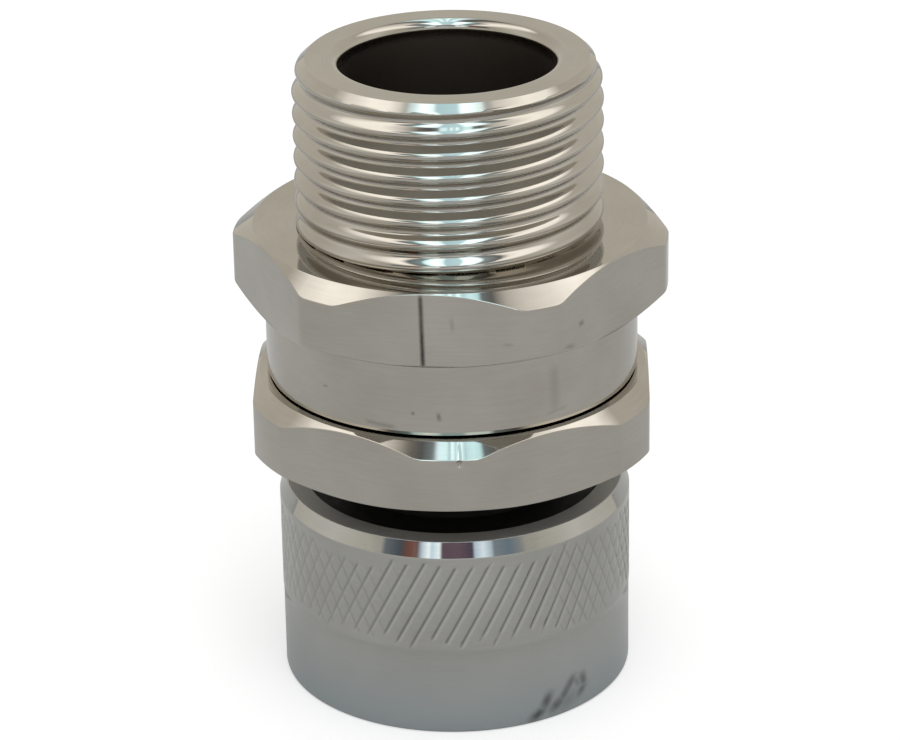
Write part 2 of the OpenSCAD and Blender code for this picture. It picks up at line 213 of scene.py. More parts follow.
# A helical thread: rows of the tube follow the crest, and both ends are held to flat planes
def threadTree():
    tree, given = startTree("helicalThread", (
        "Pitch", "Crest Radius", "Root Radius", "Crest Width", "Root Width", "Start", "Side",
        "Low", "High", "Low Radius", "High Radius", "Lead Radius", "Lead Slope",
        "Band Top", "Band Fade", "Band Radius", "Fade From", "Fade To",
        "First Crest Radius", "First Root Radius", "Base From", "Base To", "Base Root Radius",
    ))
    place = add(tree, "GeometryNodeInputPosition").outputs[0]
    apart = add(tree, "ShaderNodeSeparateXYZ", {0: place}).outputs
    turn, row, side = apart["X"], apart["Y"], given["Side"]
    rise = calc(tree, "MULTIPLY", calc(tree, "ADD", turn, row), given["Pitch"])
    height = calc(tree, "ADD", rise, given["Start"])
    fromCrest = calc(tree, "ABSOLUTE", calc(tree, "SUBTRACT", row, calc(tree, "ROUND", row)))
    away = calc(tree, "MULTIPLY", fromCrest, given["Pitch"])
    flankFrom = calc(tree, "MULTIPLY", given["Crest Width"], 0.5)
    rootFrom = calc(tree, "MULTIPLY", calc(tree, "SUBTRACT", given["Pitch"], given["Root Width"]), 0.5)
    # The first turn is lower, and the root is fuller at the thread's base
    fade = (given["Fade From"], given["Fade To"])
    crest = ramp(tree, height, *fade, given["Crest Radius"], given["First Crest Radius"])
    root = ramp(tree, height, *fade, given["Root Radius"], given["First Root Radius"])
    base = (given["Base From"], given["Base To"], given["Base Root Radius"])
    root = calc(tree, "MAXIMUM", root, ramp(tree, height, *base, given["Root Radius"]))
    form = ramp(tree, away, flankFrom, rootFrom, crest, root, smooth=True)
    # A plain band, then the lead-in's cone. The side is 1 outside and -1 inside
    bandEnd = calc(tree, "ADD", given["Band Top"], given["Band Fade"])
    band = ramp(tree, height, given["Band Top"], bandEnd, given["Band Radius"], given["Root Radius"])
    form = calc(tree, "MAXIMUM", calc(tree, "MULTIPLY", form, side), calc(tree, "MULTIPLY", band, side))
    lead = calc(tree, "MULTIPLY_ADD", height, given["Lead Slope"], given["Lead Radius"])
    form = calc(tree, "MINIMUM", form, calc(tree, "MULTIPLY", lead, side))
    form = calc(tree, "MULTIPLY", form, side)
    for end, test in (("Low", "LESS_THAN"), ("High", "GREATER_THAN")):
        past = calc(tree, test, height, given[end])
        change = calc(tree, "SUBTRACT", given[end + " Radius"], form)
        form = calc(tree, "MULTIPLY_ADD", past, change, form)
    height = calc(tree, "MINIMUM", calc(tree, "MAXIMUM", height, given["Low"]), given["High"])
    endTree(tree, given, form, calc(tree, "MULTIPLY", turn, 2 * math.pi), height)
    return tree


# How a rolled knurl wears: noise frays its ends, and the roll pressed more firmly in some places
wear = {
    "noiseRound": 6.0, "noiseUp": 3.0, "frayed": (0.35, 0.65), "endFade": 0.06, "lobes": 3.0,
    "uneven": 1.2, "pressed": (-0.8, 0.3), "weakest": 0.4, "crossed": (-0.4, 0.3),
}


def knurlWear(tree, angle, rise, rim, strongAt):
    fromEnd = calc(tree, "MINIMUM", rise, calc(tree, "SUBTRACT", 1.0, rise))
    x = calc(tree, "MULTIPLY", calc(tree, "COSINE", angle), wear["noiseRound"])
    y = calc(tree, "MULTIPLY", calc(tree, "SINE", angle), wear["noiseRound"])
    z = calc(tree, "MULTIPLY", rise, wear["noiseUp"])
    uneven = noise(tree, add(tree, "ShaderNodeCombineXYZ", {"X": x, "Y": y, "Z": z}).outputs[0], 1.0)
    ragged = calc(tree, "MULTIPLY", ramp(tree, uneven, *wear["frayed"]), rim)
    fade = ramp(tree, calc(tree, "SUBTRACT", fromEnd, ragged), 0.0, wear["endFade"], smooth=True)
    fromStrong = calc(tree, "SUBTRACT", angle, strongAt)
    lobe = calc(tree, "COSINE", calc(tree, "MULTIPLY", fromStrong, wear["lobes"]))
    firm = calc(tree, "MULTIPLY_ADD", calc(tree, "SUBTRACT", uneven, 0.5), wear["uneven"], lobe)
    return fade, firm


# A rolled knurl: slanted grooves between two plain rims, and a fainter row that crosses them
def knurlTree():
    tree, given = startTree("rolledKnurl", (
        "Radius", "Low", "High", "Count", "Slant", "Depth", "Cross Depth", "Groove Share", "Rim",
        "Strong At",
    ))
    place = add(tree, "GeometryNodeInputPosition").outputs[0]
    apart = add(tree, "ShaderNodeSeparateXYZ", {0: place}).outputs
    turn, rise = apart["X"], apart["Y"]
    lean = calc(tree, "MULTIPLY", rise, given["Slant"])
    straight = calc(tree, "MULTIPLY", turn, 2 * math.pi)
    angle = calc(tree, "ADD", straight, lean)
    span = calc(tree, "SUBTRACT", given["High"], given["Low"])
    height = calc(tree, "MULTIPLY_ADD", rise, span, given["Low"])
    halfShare = calc(tree, "MULTIPLY", given["Groove Share"], 0.5)
    fade, firm = knurlWear(tree, angle, rise, given["Rim"], given["Strong At"])

    def grooves(position, depth, strength):
        phase = calc(tree, "FRACT", calc(tree, "MULTIPLY_ADD", position, given["Count"], 0.5))
        fromLine = calc(tree, "ABSOLUTE", calc(tree, "SUBTRACT", phase, 0.5))
        flank = calc(tree, "SUBTRACT", 1.0, calc(tree, "DIVIDE", fromLine, halfShare))
        groove = calc(tree, "MULTIPLY", calc(tree, "MAXIMUM", flank, 0.0), depth)
        return calc(tree, "MULTIPLY", groove, strength)

    strong = grooves(turn, given["Depth"], ramp(tree, firm, *wear["pressed"], wear["weakest"], 1.0))
    crossing = calc(tree, "DIVIDE", calc(tree, "MULTIPLY_ADD", lean, 2.0, straight), 2 * math.pi)
    faint = grooves(crossing, given["Cross Depth"], ramp(tree, firm, *wear["crossed"], 1.0, 0.0))
    pressed = calc(tree, "MULTIPLY", calc(tree, "MAXIMUM", strong, faint), fade)
    endTree(tree, given, calc(tree, "SUBTRACT", given["Radius"], pressed), angle, height)
    return tree


# Hexagons: every direction has its own outline, so the mesh's edges follow the part's edges.
# The steps divide half a flat, each side of the flat's edge, and the way on to the corner
hexagon = {
    "flat": 17.4, "underChamfer": 28.0, "underInset": 0.4, "rounding": 0.1, "blend": 0.24,
    "flatSteps": 11, "edgeSteps": 5, "edgeDegrees": 1.5, "cornerSteps": 3, "closest": 0.0008,
}


def hexAngles(turn, cornerTrim, extra=()):
    trimmed = hexagon["flat"] / math.cos(math.pi / 6) - cornerTrim
    edge = math.acos(hexagon["flat"] / trimmed)
    near = math.radians(hexagon["edgeDegrees"])
    corner = math.pi / 6 - edge - near
    flatSteps, edgeSteps, cornerSteps = hexagon["flatSteps"], hexagon["edgeSteps"], hexagon["cornerSteps"]
    offsets = [(edge - near) * (k / flatSteps - 1) for k in range(2 * flatSteps + 1)]
    for side in (-1, 1):
        offsets += [side * (edge + near * k / edgeSteps) for k in range(-edgeSteps, edgeSteps + 1)]
        offsets += [side * (edge + near + corner * k / cornerSteps) for k in range(1, cornerSteps + 1)]
    angles = [math.radians(turn - 90) + side * math.pi / 3 + o for side in range(6) for o in offsets]
    angles = sorted(set(round(a % (2 * math.pi), 5) for a in angles + list(extra)))
    following = angles[1:] + [angles[0] + 2 * math.pi]
    return [a for a, b in zip(angles, following) if b - a > hexagon["closest"]]


def hexReach(angle, turn, trimmed):
    offset = (angle - math.radians(turn - 90) + math.pi / 6) % (math.pi / 3) - math.pi / 6
    plane = hexagon["flat"] / math.cos(offset)
    blend = hexagon["blend"]
    close = max(blend - abs(plane - trimmed), 0.0) / blend
    return min(plane, trimmed) - close * close * blend / 4


def hexRings(low, high, size, angles, underFrom, topTo):
    trimmed = hexagon["flat"] / math.cos(math.pi / 6) - size["cornerTrim"]
    topRadius = hexagon["flat"] - size["topInset"]
    underRadius = hexagon["flat"] - hexagon["underInset"]
    slopeTop = math.tan(math.radians(size["topChamfer"]))
    slopeUnder = math.tan(math.radians(hexagon["underChamfer"]))
    rounding = hexagon["rounding"]
    outlines = []
    for angle in angles:
        reach = hexReach(angle, size["turn"], trimmed)
        underEdge = low + (reach - underRadius) * slopeUnder
        topEdge = high - (reach - topRadius) * slopeTop
        middles = [(reach, underEdge + (topEdge - underEdge) * k) for k in size["rows"]]
        under = [(underFrom, low), (underRadius, low, rounding), (reach, underEdge, rounding), middles[0]]
        over = [middles[-1], (reach, topEdge, rounding), (topRadius, high, rounding), (topTo, high)]
        between = [Vector(p) for p in middles[1:-1]]
        outlines.append(roundOutline(under) + between + roundOutline(over))
    return [[(o[k].x, o[k].y) for o in outlines] for k in range(len(outlines[0]))]


# How far the grooves for the seam ring end over it, and how far round from +x the front is, in turns
seamGap = 0.02
frontTurn = 0.75

# Threaded body: nipple, hexagon and skirt
body = {
    "turn": -6.7, "cornerTrim": 0.95, "topChamfer": 36.0, "topInset": 0.12, "hexHeight": 6.9,
    "rows": (0.2, 0.4, 0.6, 0.8),
    "skirtRadius": 16.45, "skirtHeight": 6.6, "skirtEdge": (0.12, 0.32), "skirtRounding": (0.04, 0.06),
    "crestRadius": 13.5, "rootRadius": 12.55, "pitch": 2.0, "crestWidth": 0.05, "rootWidth": 0.05,
    "rowsPerPitch": 20, "spareTurns": 2, "baseFrom": 1.0, "baseTo": 5.0, "baseRootRadius": 12.95,
    "firstCrest": 0.36, "firstCrestRadius": 13.1, "firstRootRadius": 12.75,
    "fadeHeight": 2.4, "fadeEnd": 0.7, "endRadius": 12.3, "leadIn": 1.05, "endGap": 0.0005,
    "runout": 0.35, "runoutFade": 0.3, "runoutRadius": 12.9,
    "boreRadius": 9.3, "mouth": 0.9, "mouthSteps": 10, "mouthHold": 2.5,
    "sealBore": 10.25, "sealOver": 0.3, "sealEdge": 0.2,
    "chamber": 13.8, "shoulderOver": 0.05, "seamGroove": 14.79,
}


def makeBody(material):
    low = zLow("male_body")
    top = zTop("male_body") - body["endGap"]
    hexLow = low + body["skirtHeight"]
    hexTop = hexLow + body["hexHeight"]
    angles = hexAngles(body["turn"], body["cornerTrim"])
    skirt, end, bore, seal = body["skirtRadius"], body["endRadius"], body["boreRadius"], body["sealBore"]
    edgeWidth, edgeHeight = body["skirtEdge"]
    underRounding, sideRounding = body["skirtRounding"]
    sealTop = zTop("swivel_stem") + body["sealOver"]
    shoulder = zTop("slip_washer") + body["shoulderOver"]
    grooveTop = zTop("seam_ring") + seamGap
    mesh = bmesh.new()
    outer = roundOutline([
        (body["seamGroove"], low), (skirt - edgeWidth, low, underRounding),
        (skirt, low + edgeHeight, sideRounding), (skirt, (low + hexLow) / 2), (skirt, hexLow),
    ])
    rings = turned(outer, angles) + hexRings(hexLow, hexTop, body, angles, skirt, body["runoutRadius"])
    addRings(mesh, rings, angles)
    inner = roundOutline([
        (end, top), (bore, top, body["mouth"]), (bore, top - body["mouth"] * body["mouthHold"]),
        (bore, sealTop), (seal, sealTop), (seal, shoulder + body["sealEdge"]),
        (seal + body["sealEdge"], shoulder), (body["chamber"], shoulder), (body["chamber"], grooveTop),
        (body["seamGroove"], grooveTop), (body["seamGroove"], low),
    ], body["mouthSteps"])
    addRings(mesh, turned(inner, angles), angles)
    pitch = body["pitch"]
    turns = math.ceil((top - hexTop) / pitch) + body["spareTurns"]
    slope = (body["crestRadius"] - end) / body["leadIn"]
    values = {
        "Pitch": pitch, "Crest Radius": body["crestRadius"], "Root Radius": body["rootRadius"],
        "Crest Width": body["crestWidth"], "Root Width": body["rootWidth"],
        "Start": top - body["firstCrest"] - frontTurn * pitch - (turns - 1) * pitch,
        "Low": hexTop, "High": top, "Low Radius": body["runoutRadius"], "High Radius": end,
        "Lead Radius": end + top * slope, "Lead Slope": -slope, "Side": 1,
        "Band Top": hexTop + body["runout"], "Band Fade": body["runoutFade"],
        "Band Radius": body["runoutRadius"],
        "Fade From": top - body["fadeHeight"], "Fade To": top - body["fadeEnd"],
        "First Crest Radius": body["firstCrestRadius"], "First Root Radius": body["firstRootRadius"],
        "Base From": hexTop + body["baseFrom"], "Base To": hexTop + body["baseTo"],
        "Base Root Radius": body["baseRootRadius"],
    }
    around = [a / (2 * math.pi) for a in angles]
    around.append(1.0 + around[0])
    tube = openTube("nippleThread", around, turns * body["rowsPerPitch"], 1 / body["rowsPerPitch"])
    addData(mesh, grow(tube, threadTree(), values, material))
    finishPiece(mesh, "threadedBody", "male_body", "housing", material)


# Gland nut: hexagon, punch mark, hidden sleeve and cup
nut = {
    "turn": 28.3, "cornerTrim": 1.4, "topChamfer": 35.5, "topInset": 0.27, "hexHeight": 6.75,
    "rows": (0.15, 0.3, 0.45, 0.6, 0.7, 0.76, 0.8, 0.83, 0.86, 0.89, 0.92, 0.95, 0.975),
    "undercut": 13.25, "sleeve": 13.75, "cup": 12.15, "floor": 5.7, "bushSeat": 10.17, "ledge": 0.6,
    "opening": 8.9, "openingEdge": 0.2,
    "punchAngle": -88.7, "punchBelowTop": 1.4, "punchRadius": 0.36, "punchDepth": 0.3,
    "punchSpread": 1.8, "punchColumns": 10,
}


def makeNut(material):
    low, sleeveTop = zLow("gland_nut"), zTop("gland_nut")
    top = low + nut["hexHeight"]
    punchAngle = math.radians(nut["punchAngle"])
    spread, columns = nut["punchRadius"] * nut["punchSpread"] / hexagon["flat"], nut["punchColumns"]
    extra = [punchAngle + spread * k / columns for k in range(-columns, columns + 1)]
    angles = hexAngles(nut["turn"], nut["cornerTrim"], extra)
    grooveTop = zTop("seam_ring") + seamGap
    cupFloor, ledge = low + nut["floor"], low + nut["ledge"]
    opening, edge = nut["opening"], nut["openingEdge"]
    mesh = bmesh.new()
    addRings(mesh, hexRings(low, top, nut, angles, opening + edge, nut["undercut"]), angles)
    inner = roundOutline([
        (nut["undercut"], top), (nut["undercut"], grooveTop), (nut["sleeve"], grooveTop),
        (nut["sleeve"], sleeveTop), (nut["cup"], sleeveTop), (nut["cup"], cupFloor),
        (nut["bushSeat"], cupFloor), (nut["bushSeat"], ledge), (opening, ledge), (opening, low + edge),
        (opening + edge, low),
    ])
    addRings(mesh, turned(inner, angles), angles)
    punchHeight = top - nut["punchBelowTop"]
    for vert in mesh.verts:
        reach = math.hypot(vert.co.x, vert.co.y) / mm
        across = reach * math.sin(math.atan2(vert.co.y, vert.co.x) - punchAngle)
        away = math.hypot(across, vert.co.z / mm - punchHeight) / nut["punchRadius"]
        if reach > hexagon["flat"] and vert.co.y < 0 and away < 1:
            pushed = nut["punchDepth"] * (1 - away)
            vert.co.x *= 1 - pushed / reach
            vert.co.y *= 1 - pushed / reach
    finishPiece(mesh, "glandNut", "gland_nut", "housing", material)


# Union collar: knurled band outside, thread and lip inside
collar = {
    "radius": 15.75, "plainRadius": 15.7, "plainHold": 1.5, "plainEdge": 0.1,
    "rimEdge": 0.3, "rimSteps": 8, "edge": 0.1, "chamferHeight": 1.35, "chamferWidth": 0.675,
    "knurlHeight": 9.05, "knurlCount": 68, "columnsPerGroove": 8, "slantColumns": 26, "knurlRows": 44,
    "knurlDepth": 0.13, "crossDepth": 0.08, "grooveShare": 0.52, "raggedRim": 0.14, "strongAt": -84,
    "minorRadius": 12.417, "majorRadius": 13.5, "pitch": 2.0, "crestWidth": 0.5, "rootWidth": 0.2,
    "mouth": 1.2, "socket": 7.6, "rowsPerPitch": 14, "spareTurns": 2,
    "lipFrom": 12.55, "lipTo": 14.75, "lipRadius": 8.9, "recess": 13.3, "recessEdge": 0.08, "hold": 0.05,
}
# The collar's thread has no plain band, low first turn or full base, so they lie beyond its ends
beyondThread = {
    "Band Top": -50, "Band Fade": 1, "Band Radius": 50, "Fade From": 50, "Fade To": 51,
    "First Crest Radius": 13, "First Root Radius": 13, "Base From": -60, "Base To": -50,
}


def makeCollar(material):
    top = zTop("knurled_collar")
    columns = collar["knurlCount"] * collar["columnsPerGroove"]
    angles = [2 * math.pi * i / columns for i in range(columns)]
    around = [i / columns for i in range(columns + 1)]
    knurlTop = top - collar["chamferHeight"]
    knurlLow = knurlTop - collar["knurlHeight"]
    radius, plain, major = collar["radius"], collar["plainRadius"], collar["majorRadius"]
    mouthRadius = collar["minorRadius"] + collar["mouth"]
    mesh = bmesh.new()
    below = roundOutline([
        (mouthRadius, 0), (plain, 0, collar["rimEdge"]), (plain, knurlLow - collar["plainHold"]),
        (plain, knurlLow - collar["plainEdge"]), (radius, knurlLow),
    ], collar["rimSteps"])
    addRings(mesh, turned(below, angles), angles)
    lip, lipFrom, lipTo = collar["lipRadius"], collar["lipFrom"], collar["lipTo"]
    recess, hold, edge = collar["recess"], collar["hold"], collar["edge"]
    holdWidth = hold * collar["chamferWidth"] / collar["chamferHeight"]
    above = roundOutline([
        (radius, knurlTop), (radius - holdWidth, knurlTop + hold),
        (radius - collar["chamferWidth"], top, edge), (recess, top, collar["recessEdge"]),
        (recess, lipTo, edge), (lip, lipTo, edge), (lip, lipFrom, edge), (major, lipFrom, edge),
        (major, collar["socket"]),
    ])
    addRings(mesh, turned(above, angles), angles)
    knurl = {
        "Radius": radius, "Low": knurlLow, "High": knurlTop, "Count": collar["knurlCount"],
        "Slant": collar["slantColumns"] / columns * 2 * math.pi, "Depth": collar["knurlDepth"],
        "Cross Depth": collar["crossDepth"], "Groove Share": collar["grooveShare"],
        "Rim": collar["raggedRim"], "Strong At": math.radians(collar["strongAt"]),
    }
    band = openTube("knurlBand", around, collar["knurlRows"], 1 / collar["knurlRows"])
    addData(mesh, grow(band, knurlTree(), knurl, material))
    pitch, spareTurns = collar["pitch"], collar["spareTurns"]
    thread = {
        **beyondThread, "Base Root Radius": major,
        "Pitch": pitch, "Crest Radius": collar["minorRadius"], "Root Radius": major,
        "Crest Width": collar["crestWidth"], "Root Width": collar["rootWidth"],
        "Start": -spareTurns * pitch, "Low": 0, "High": collar["socket"], "Low Radius": mouthRadius,
        "High Radius": major, "Lead Radius": mouthRadius, "Lead Slope": -1, "Side": -1,
    }
    turns = math.ceil(collar["socket"] / pitch) + spareTurns + 1
    tube = openTube("socketThread", around, turns * collar["rowsPerPitch"], 1 / collar["rowsPerPitch"])
    addData(mesh, grow(tube, threadTree(), thread, material))
    finishPiece(mesh, "unionCollar", "knurled_collar", "collar", material)


# Materials: every pattern runs on object coordinates, in millimetres
def startMaterial(name, settings):
    material = bpy.data.materials.new(name)
    material.use_nodes = True
    tree = material.node_tree
    shader = tree.nodes["Principled BSDF"]
    for key, value in settings.items():
        shader.inputs[key].default_value = value
    spot = add(tree, "ShaderNodeTexCoord").outputs["Object"]
    inMm = add(tree, "ShaderNodeVectorMath", {0: spot, "Scale": 1 / mm}, operation="SCALE").outputs[0]
    return material, tree, shader, inMm


def polar(tree, spot):
    apart = add(tree, "ShaderNodeSeparateXYZ", {0: spot}).outputs
    squareY = calc(tree, "MULTIPLY", apart["Y"], apart["Y"])
    radius = calc(tree, "SQRT", calc(tree, "MULTIPLY_ADD", apart["X"], apart["X"], squareY))
    return radius, apart["Z"], apart


# How far the surface faces up or down: 0 on walls, 1 on flat faces
def upright(tree):
    normal = add(tree, "ShaderNodeNewGeometry").outputs["Normal"]
    return calc(tree, "ABSOLUTE", add(tree, "ShaderNodeSeparateXYZ", {0: normal}).outputs["Z"])


# Turning marks: noise that is long round the axis and fine along the surface
turningNoise = {"flat": (0.9, 0.97), "detail": 3.0, "roughness": 0.6}


def turningMarks(tree, spot, fine, long):
    radius, height, apart = polar(tree, spot)
    isFlat = ramp(tree, upright(tree), *turningNoise["flat"])
    step = calc(tree, "MULTIPLY_ADD", isFlat, calc(tree, "SUBTRACT", radius, height), height)
    along = calc(tree, "MULTIPLY", step, fine)
    x = calc(tree, "MULTIPLY", apart["X"], long)
    y = calc(tree, "MULTIPLY", apart["Y"], long)
    place = add(tree, "ShaderNodeCombineXYZ", {"X": x, "Y": y, "Z": along}).outputs[0]
    return noise(tree, place, 1.0, turningNoise["detail"], turningNoise["roughness"])


def mix(tree, factor, first, second):
    made = add(tree, "ShaderNodeMix", data_type="RGBA")
    for index, value in ((0, factor), (6, first), (7, second)):
        if isinstance(value, bpy.types.NodeSocket):
            tree.links.new(value, made.inputs[index])
        else:
            made.inputs[index].default_value = value
    return made.outputs[2]


def bump(tree, height, depth, under=None):
    values = {"Height": height, "Distance": depth * mm, "Strength": 1.0}
    if under:
        values["Normal"] = under
    return add(tree, "ShaderNodeBump", values).outputs[0]


# Marks on the front: each runs straight between two (x, z) places in millimetres, with soft ends
def stroke(tree, spot, start, end, width, strength, endStrength=None):
    apart = add(tree, "ShaderNodeSeparateXYZ", {0: spot}).outputs
    length = math.hypot(end[0] - start[0], end[1] - start[1])
    ux, uz = (end[0] - start[0]) / length, (end[1] - start[1]) / length
    dx = calc(tree, "SUBTRACT", apart["X"], start[0])
    dz = calc(tree, "SUBTRACT", apart["Z"], start[1])
    along = calc(tree, "MULTIPLY_ADD", dx, ux, calc(tree, "MULTIPLY", dz, uz))
    across = calc(tree, "ABSOLUTE", calc(tree, "MULTIPLY_ADD", dx, -uz, calc(tree, "MULTIPLY", dz, ux)))
    line = ramp(tree, across, 0.0, width, 1.0, 0.0, smooth=True)
    soft = min(width, length / 2)
    starting = ramp(tree, along, -soft, soft, smooth=True)
    ending = ramp(tree, along, length - soft, length + soft, 1.0, 0.0, smooth=True)
    line = calc(tree, "MULTIPLY", line, calc(tree, "MULTIPLY", starting, ending))
    line = calc(tree, "MULTIPLY", line, calc(tree, "LESS_THAN", apart["Y"], 0.0))
    return calc(tree, "MULTIPLY", line, ramp(tree, along, 0, length, strength, endStrength or strength))


# Smudges: strokes broken up by noise
smudge = {"scale": 2.2, "detail": 3.0, "roughness": 0.7, "range": (0.25, 0.6), "weakest": 0.75}


def smudges(tree, spot, marks):
    whole = 0.0
    for mark in marks:
        whole = calc(tree, "MAXIMUM", whole, stroke(tree, spot, *mark))
    uneven = noise(tree, spot, smudge["scale"], smudge["detail"], smudge["roughness"])
    return calc(tree, "MULTIPLY", whole, ramp(tree, uneven, *smudge["range"], smudge["weakest"], 1.0))


# Painted shade in the knurl's grooves, and a painted highlight beside each
knurlLook = {
    "wall": (15.3, 15.5), "half": 0.15, "paintedGrooveShade": (0.2, 0.62), "crossed": (0.22, 0.03),
    "paintedGrooveHighlight": (0.1, 0.35), "brightHalf": 0.13, "brightShift": 0.2,
}


def knurlShade(tree, spot):
    radius, height, apart = polar(tree, spot)
    high = zTop("knurled_collar") - collar["chamferHeight"]
    rise = ramp(tree, height, high - collar["knurlHeight"], high)
    angle = calc(tree, "ARCTAN2", apart["Y"], apart["X"])
    turn = calc(tree, "DIVIDE", angle, 2 * math.pi)
    slant = collar["slantColumns"] / collar["columnsPerGroove"]
    fade, firm = knurlWear(tree, angle, rise, collar["raggedRim"], math.radians(collar["strongAt"]))
    wall = calc(tree, "MULTIPLY", fade, ramp(tree, radius, *knurlLook["wall"]))

    def line(lean, shift, half, strength):
        place = calc(tree, "MULTIPLY_ADD", turn, collar["knurlCount"], calc(tree, "MULTIPLY", rise, lean))
        phase = calc(tree, "FRACT", calc(tree, "ADD", place, 0.5 - shift))
        away = calc(tree, "ABSOLUTE", calc(tree, "SUBTRACT", phase, 0.5))
        shape = ramp(tree, away, 0.0, half, 1.0, 0.0, smooth=True)
        return calc(tree, "MULTIPLY", shape, calc(tree, "MULTIPLY", strength, wall))

    half, brightHalf = knurlLook["half"], knurlLook["brightHalf"]
    paintedGrooveShade = line(-slant, 0.0, half, ramp(tree, firm, *wear["pressed"], *knurlLook["paintedGrooveShade"]))
    crossed = line(slant, 0.0, half, ramp(tree, firm, *wear["crossed"], *knurlLook["crossed"]))
    brightness = ramp(tree, firm, *wear["pressed"], *knurlLook["paintedGrooveHighlight"])
    paintedGrooveHighlight = line(-slant, knurlLook["brightShift"], brightHalf, brightness)
    return calc(tree, "MAXIMUM", paintedGrooveShade, crossed), paintedGrooveHighlight


# Plated metal: the collar's own values stand in for the body's where they differ
metal = {
    "base": (0.43, 0.405, 0.36, 1), "pale": (0.50, 0.475, 0.43, 1), "dark": (0.045, 0.04, 0.036, 1),
    "cloudScale": 0.11, "cloudDetail": 3.0, "cloudShare": 0.7, "streakShare": 0.3, "tones": (0.35, 0.65),
    "roughLow": 0.07, "roughHigh": 0.14, "roughTones": (0.3, 0.7), "polish": 0.03, "wall": (0.15, 0.3),
    "markFine": 5.0, "markLong": 0.35, "marksDepth": 0.0008, "marksOnFlat": 0.4,
    "finer": 2.6, "finerLong": 0.9, "finerDepth": 0.3, "ripple": 0.002, "rippleScale": 0.35,
    "brushed": (22.3, 29.0), "brushedDepth": 0.0018, "brushedSoft": 0.05,
    # The bore colour is painted shade inside the bore
    "bore": (0.2, 0.172, 0.15, 1), "boreFrom": 9.6, "boreMouth": (56.0, 57.2), "boreRough": 0.4,
    # The edge values draw a painted shade line along the hexagon's lower edge
    "edge": 36.04, "edgeFrom": 17.25, "edgeWidth": (0.05, 0.15), "edgeShade": 0.5, "marksAndEdgeRough": 0.4,
}
collarMetal = {
    **metal, "base": (0.41, 0.405, 0.38, 1), "pale": (0.47, 0.465, 0.44, 1), "roughLow": 0.12,
    "roughHigh": 0.2, "marksDepth": 0.0004, "brushed": (0.0, 0.1),
    # The low colour is a painted reflection that makes the collar bluish towards the bottom
    "low": (0.43, 0.465, 0.475, 1), "lowFrom": 9.0, "face": 18.46, "faceRough": 0.4, "faceMetal": 0.45,
    # The groove colours are the knurl's painted shade and the painted highlight beside it
    "groove": (0.1, 0.1, 0.09, 1), "grooveHighlightColour": (0.62, 0.62, 0.58, 1),
}


